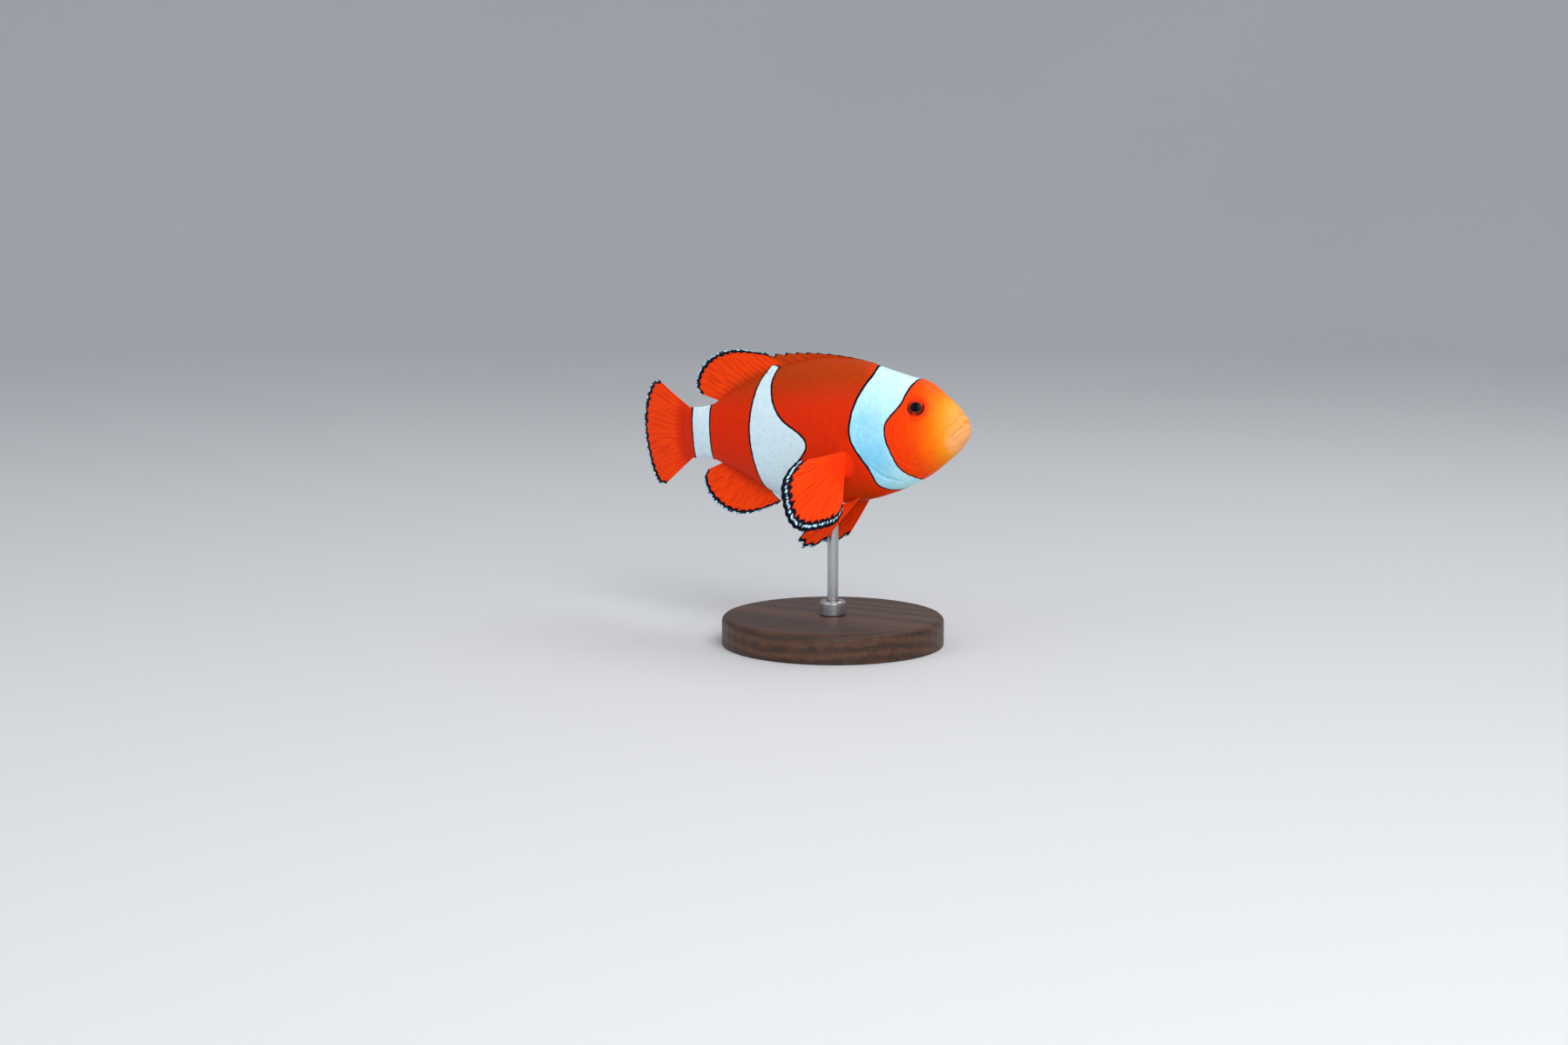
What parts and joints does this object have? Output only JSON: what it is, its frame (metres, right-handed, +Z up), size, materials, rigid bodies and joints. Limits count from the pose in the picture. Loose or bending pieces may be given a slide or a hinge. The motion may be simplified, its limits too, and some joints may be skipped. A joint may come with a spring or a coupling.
{
  "type": "clownfish display model",
  "caption": "Life-size still model of an orange clownfish with white bars edged in black, hovering on a slim rod above a round display base.",
  "frame": {"origin": "the middle of the stand's underside, on the table, with the rod straight above it", "axes": "+X the way the fish heads, +Y to the fish's left, +Z up"},
  "size_m": [0.0885, 0.048, 0.0625],
  "materials": {
    "skin": "satin scaled skin, orange with white bars edged in black",
    "fins": "satin rayed membrane, orange with a black band and a white margin",
    "eyes": "polished clear dome over a dark pupil and a red-brown iris",
    "stand_wood": "dark stained, satin varnish",
    "stand_steel": "finely brushed"
  },
  "bodies": {
    "root": {"head": "skin", "upper_lip": "skin", "lower_jaw": "skin", "gill_cover_left": "skin", "gill_cover_right": "skin", "trunk": "skin", "tail_root": "skin", "eye_left": "eyes", "eye_right": "eyes", "dorsal_fin_spiny": "fins", "dorsal_fin_soft": "fins", "anal_fin": "fins", "tail_fin": "fins", "pectoral_fin_left": "fins", "pectoral_fin_right": "fins", "pelvic_fin_left": "fins", "pelvic_fin_right": "fins", "stand_base": "stand_wood", "stand_collar": "stand_steel", "stand_rod": "stand_steel"}
  },
  "joints": []
}
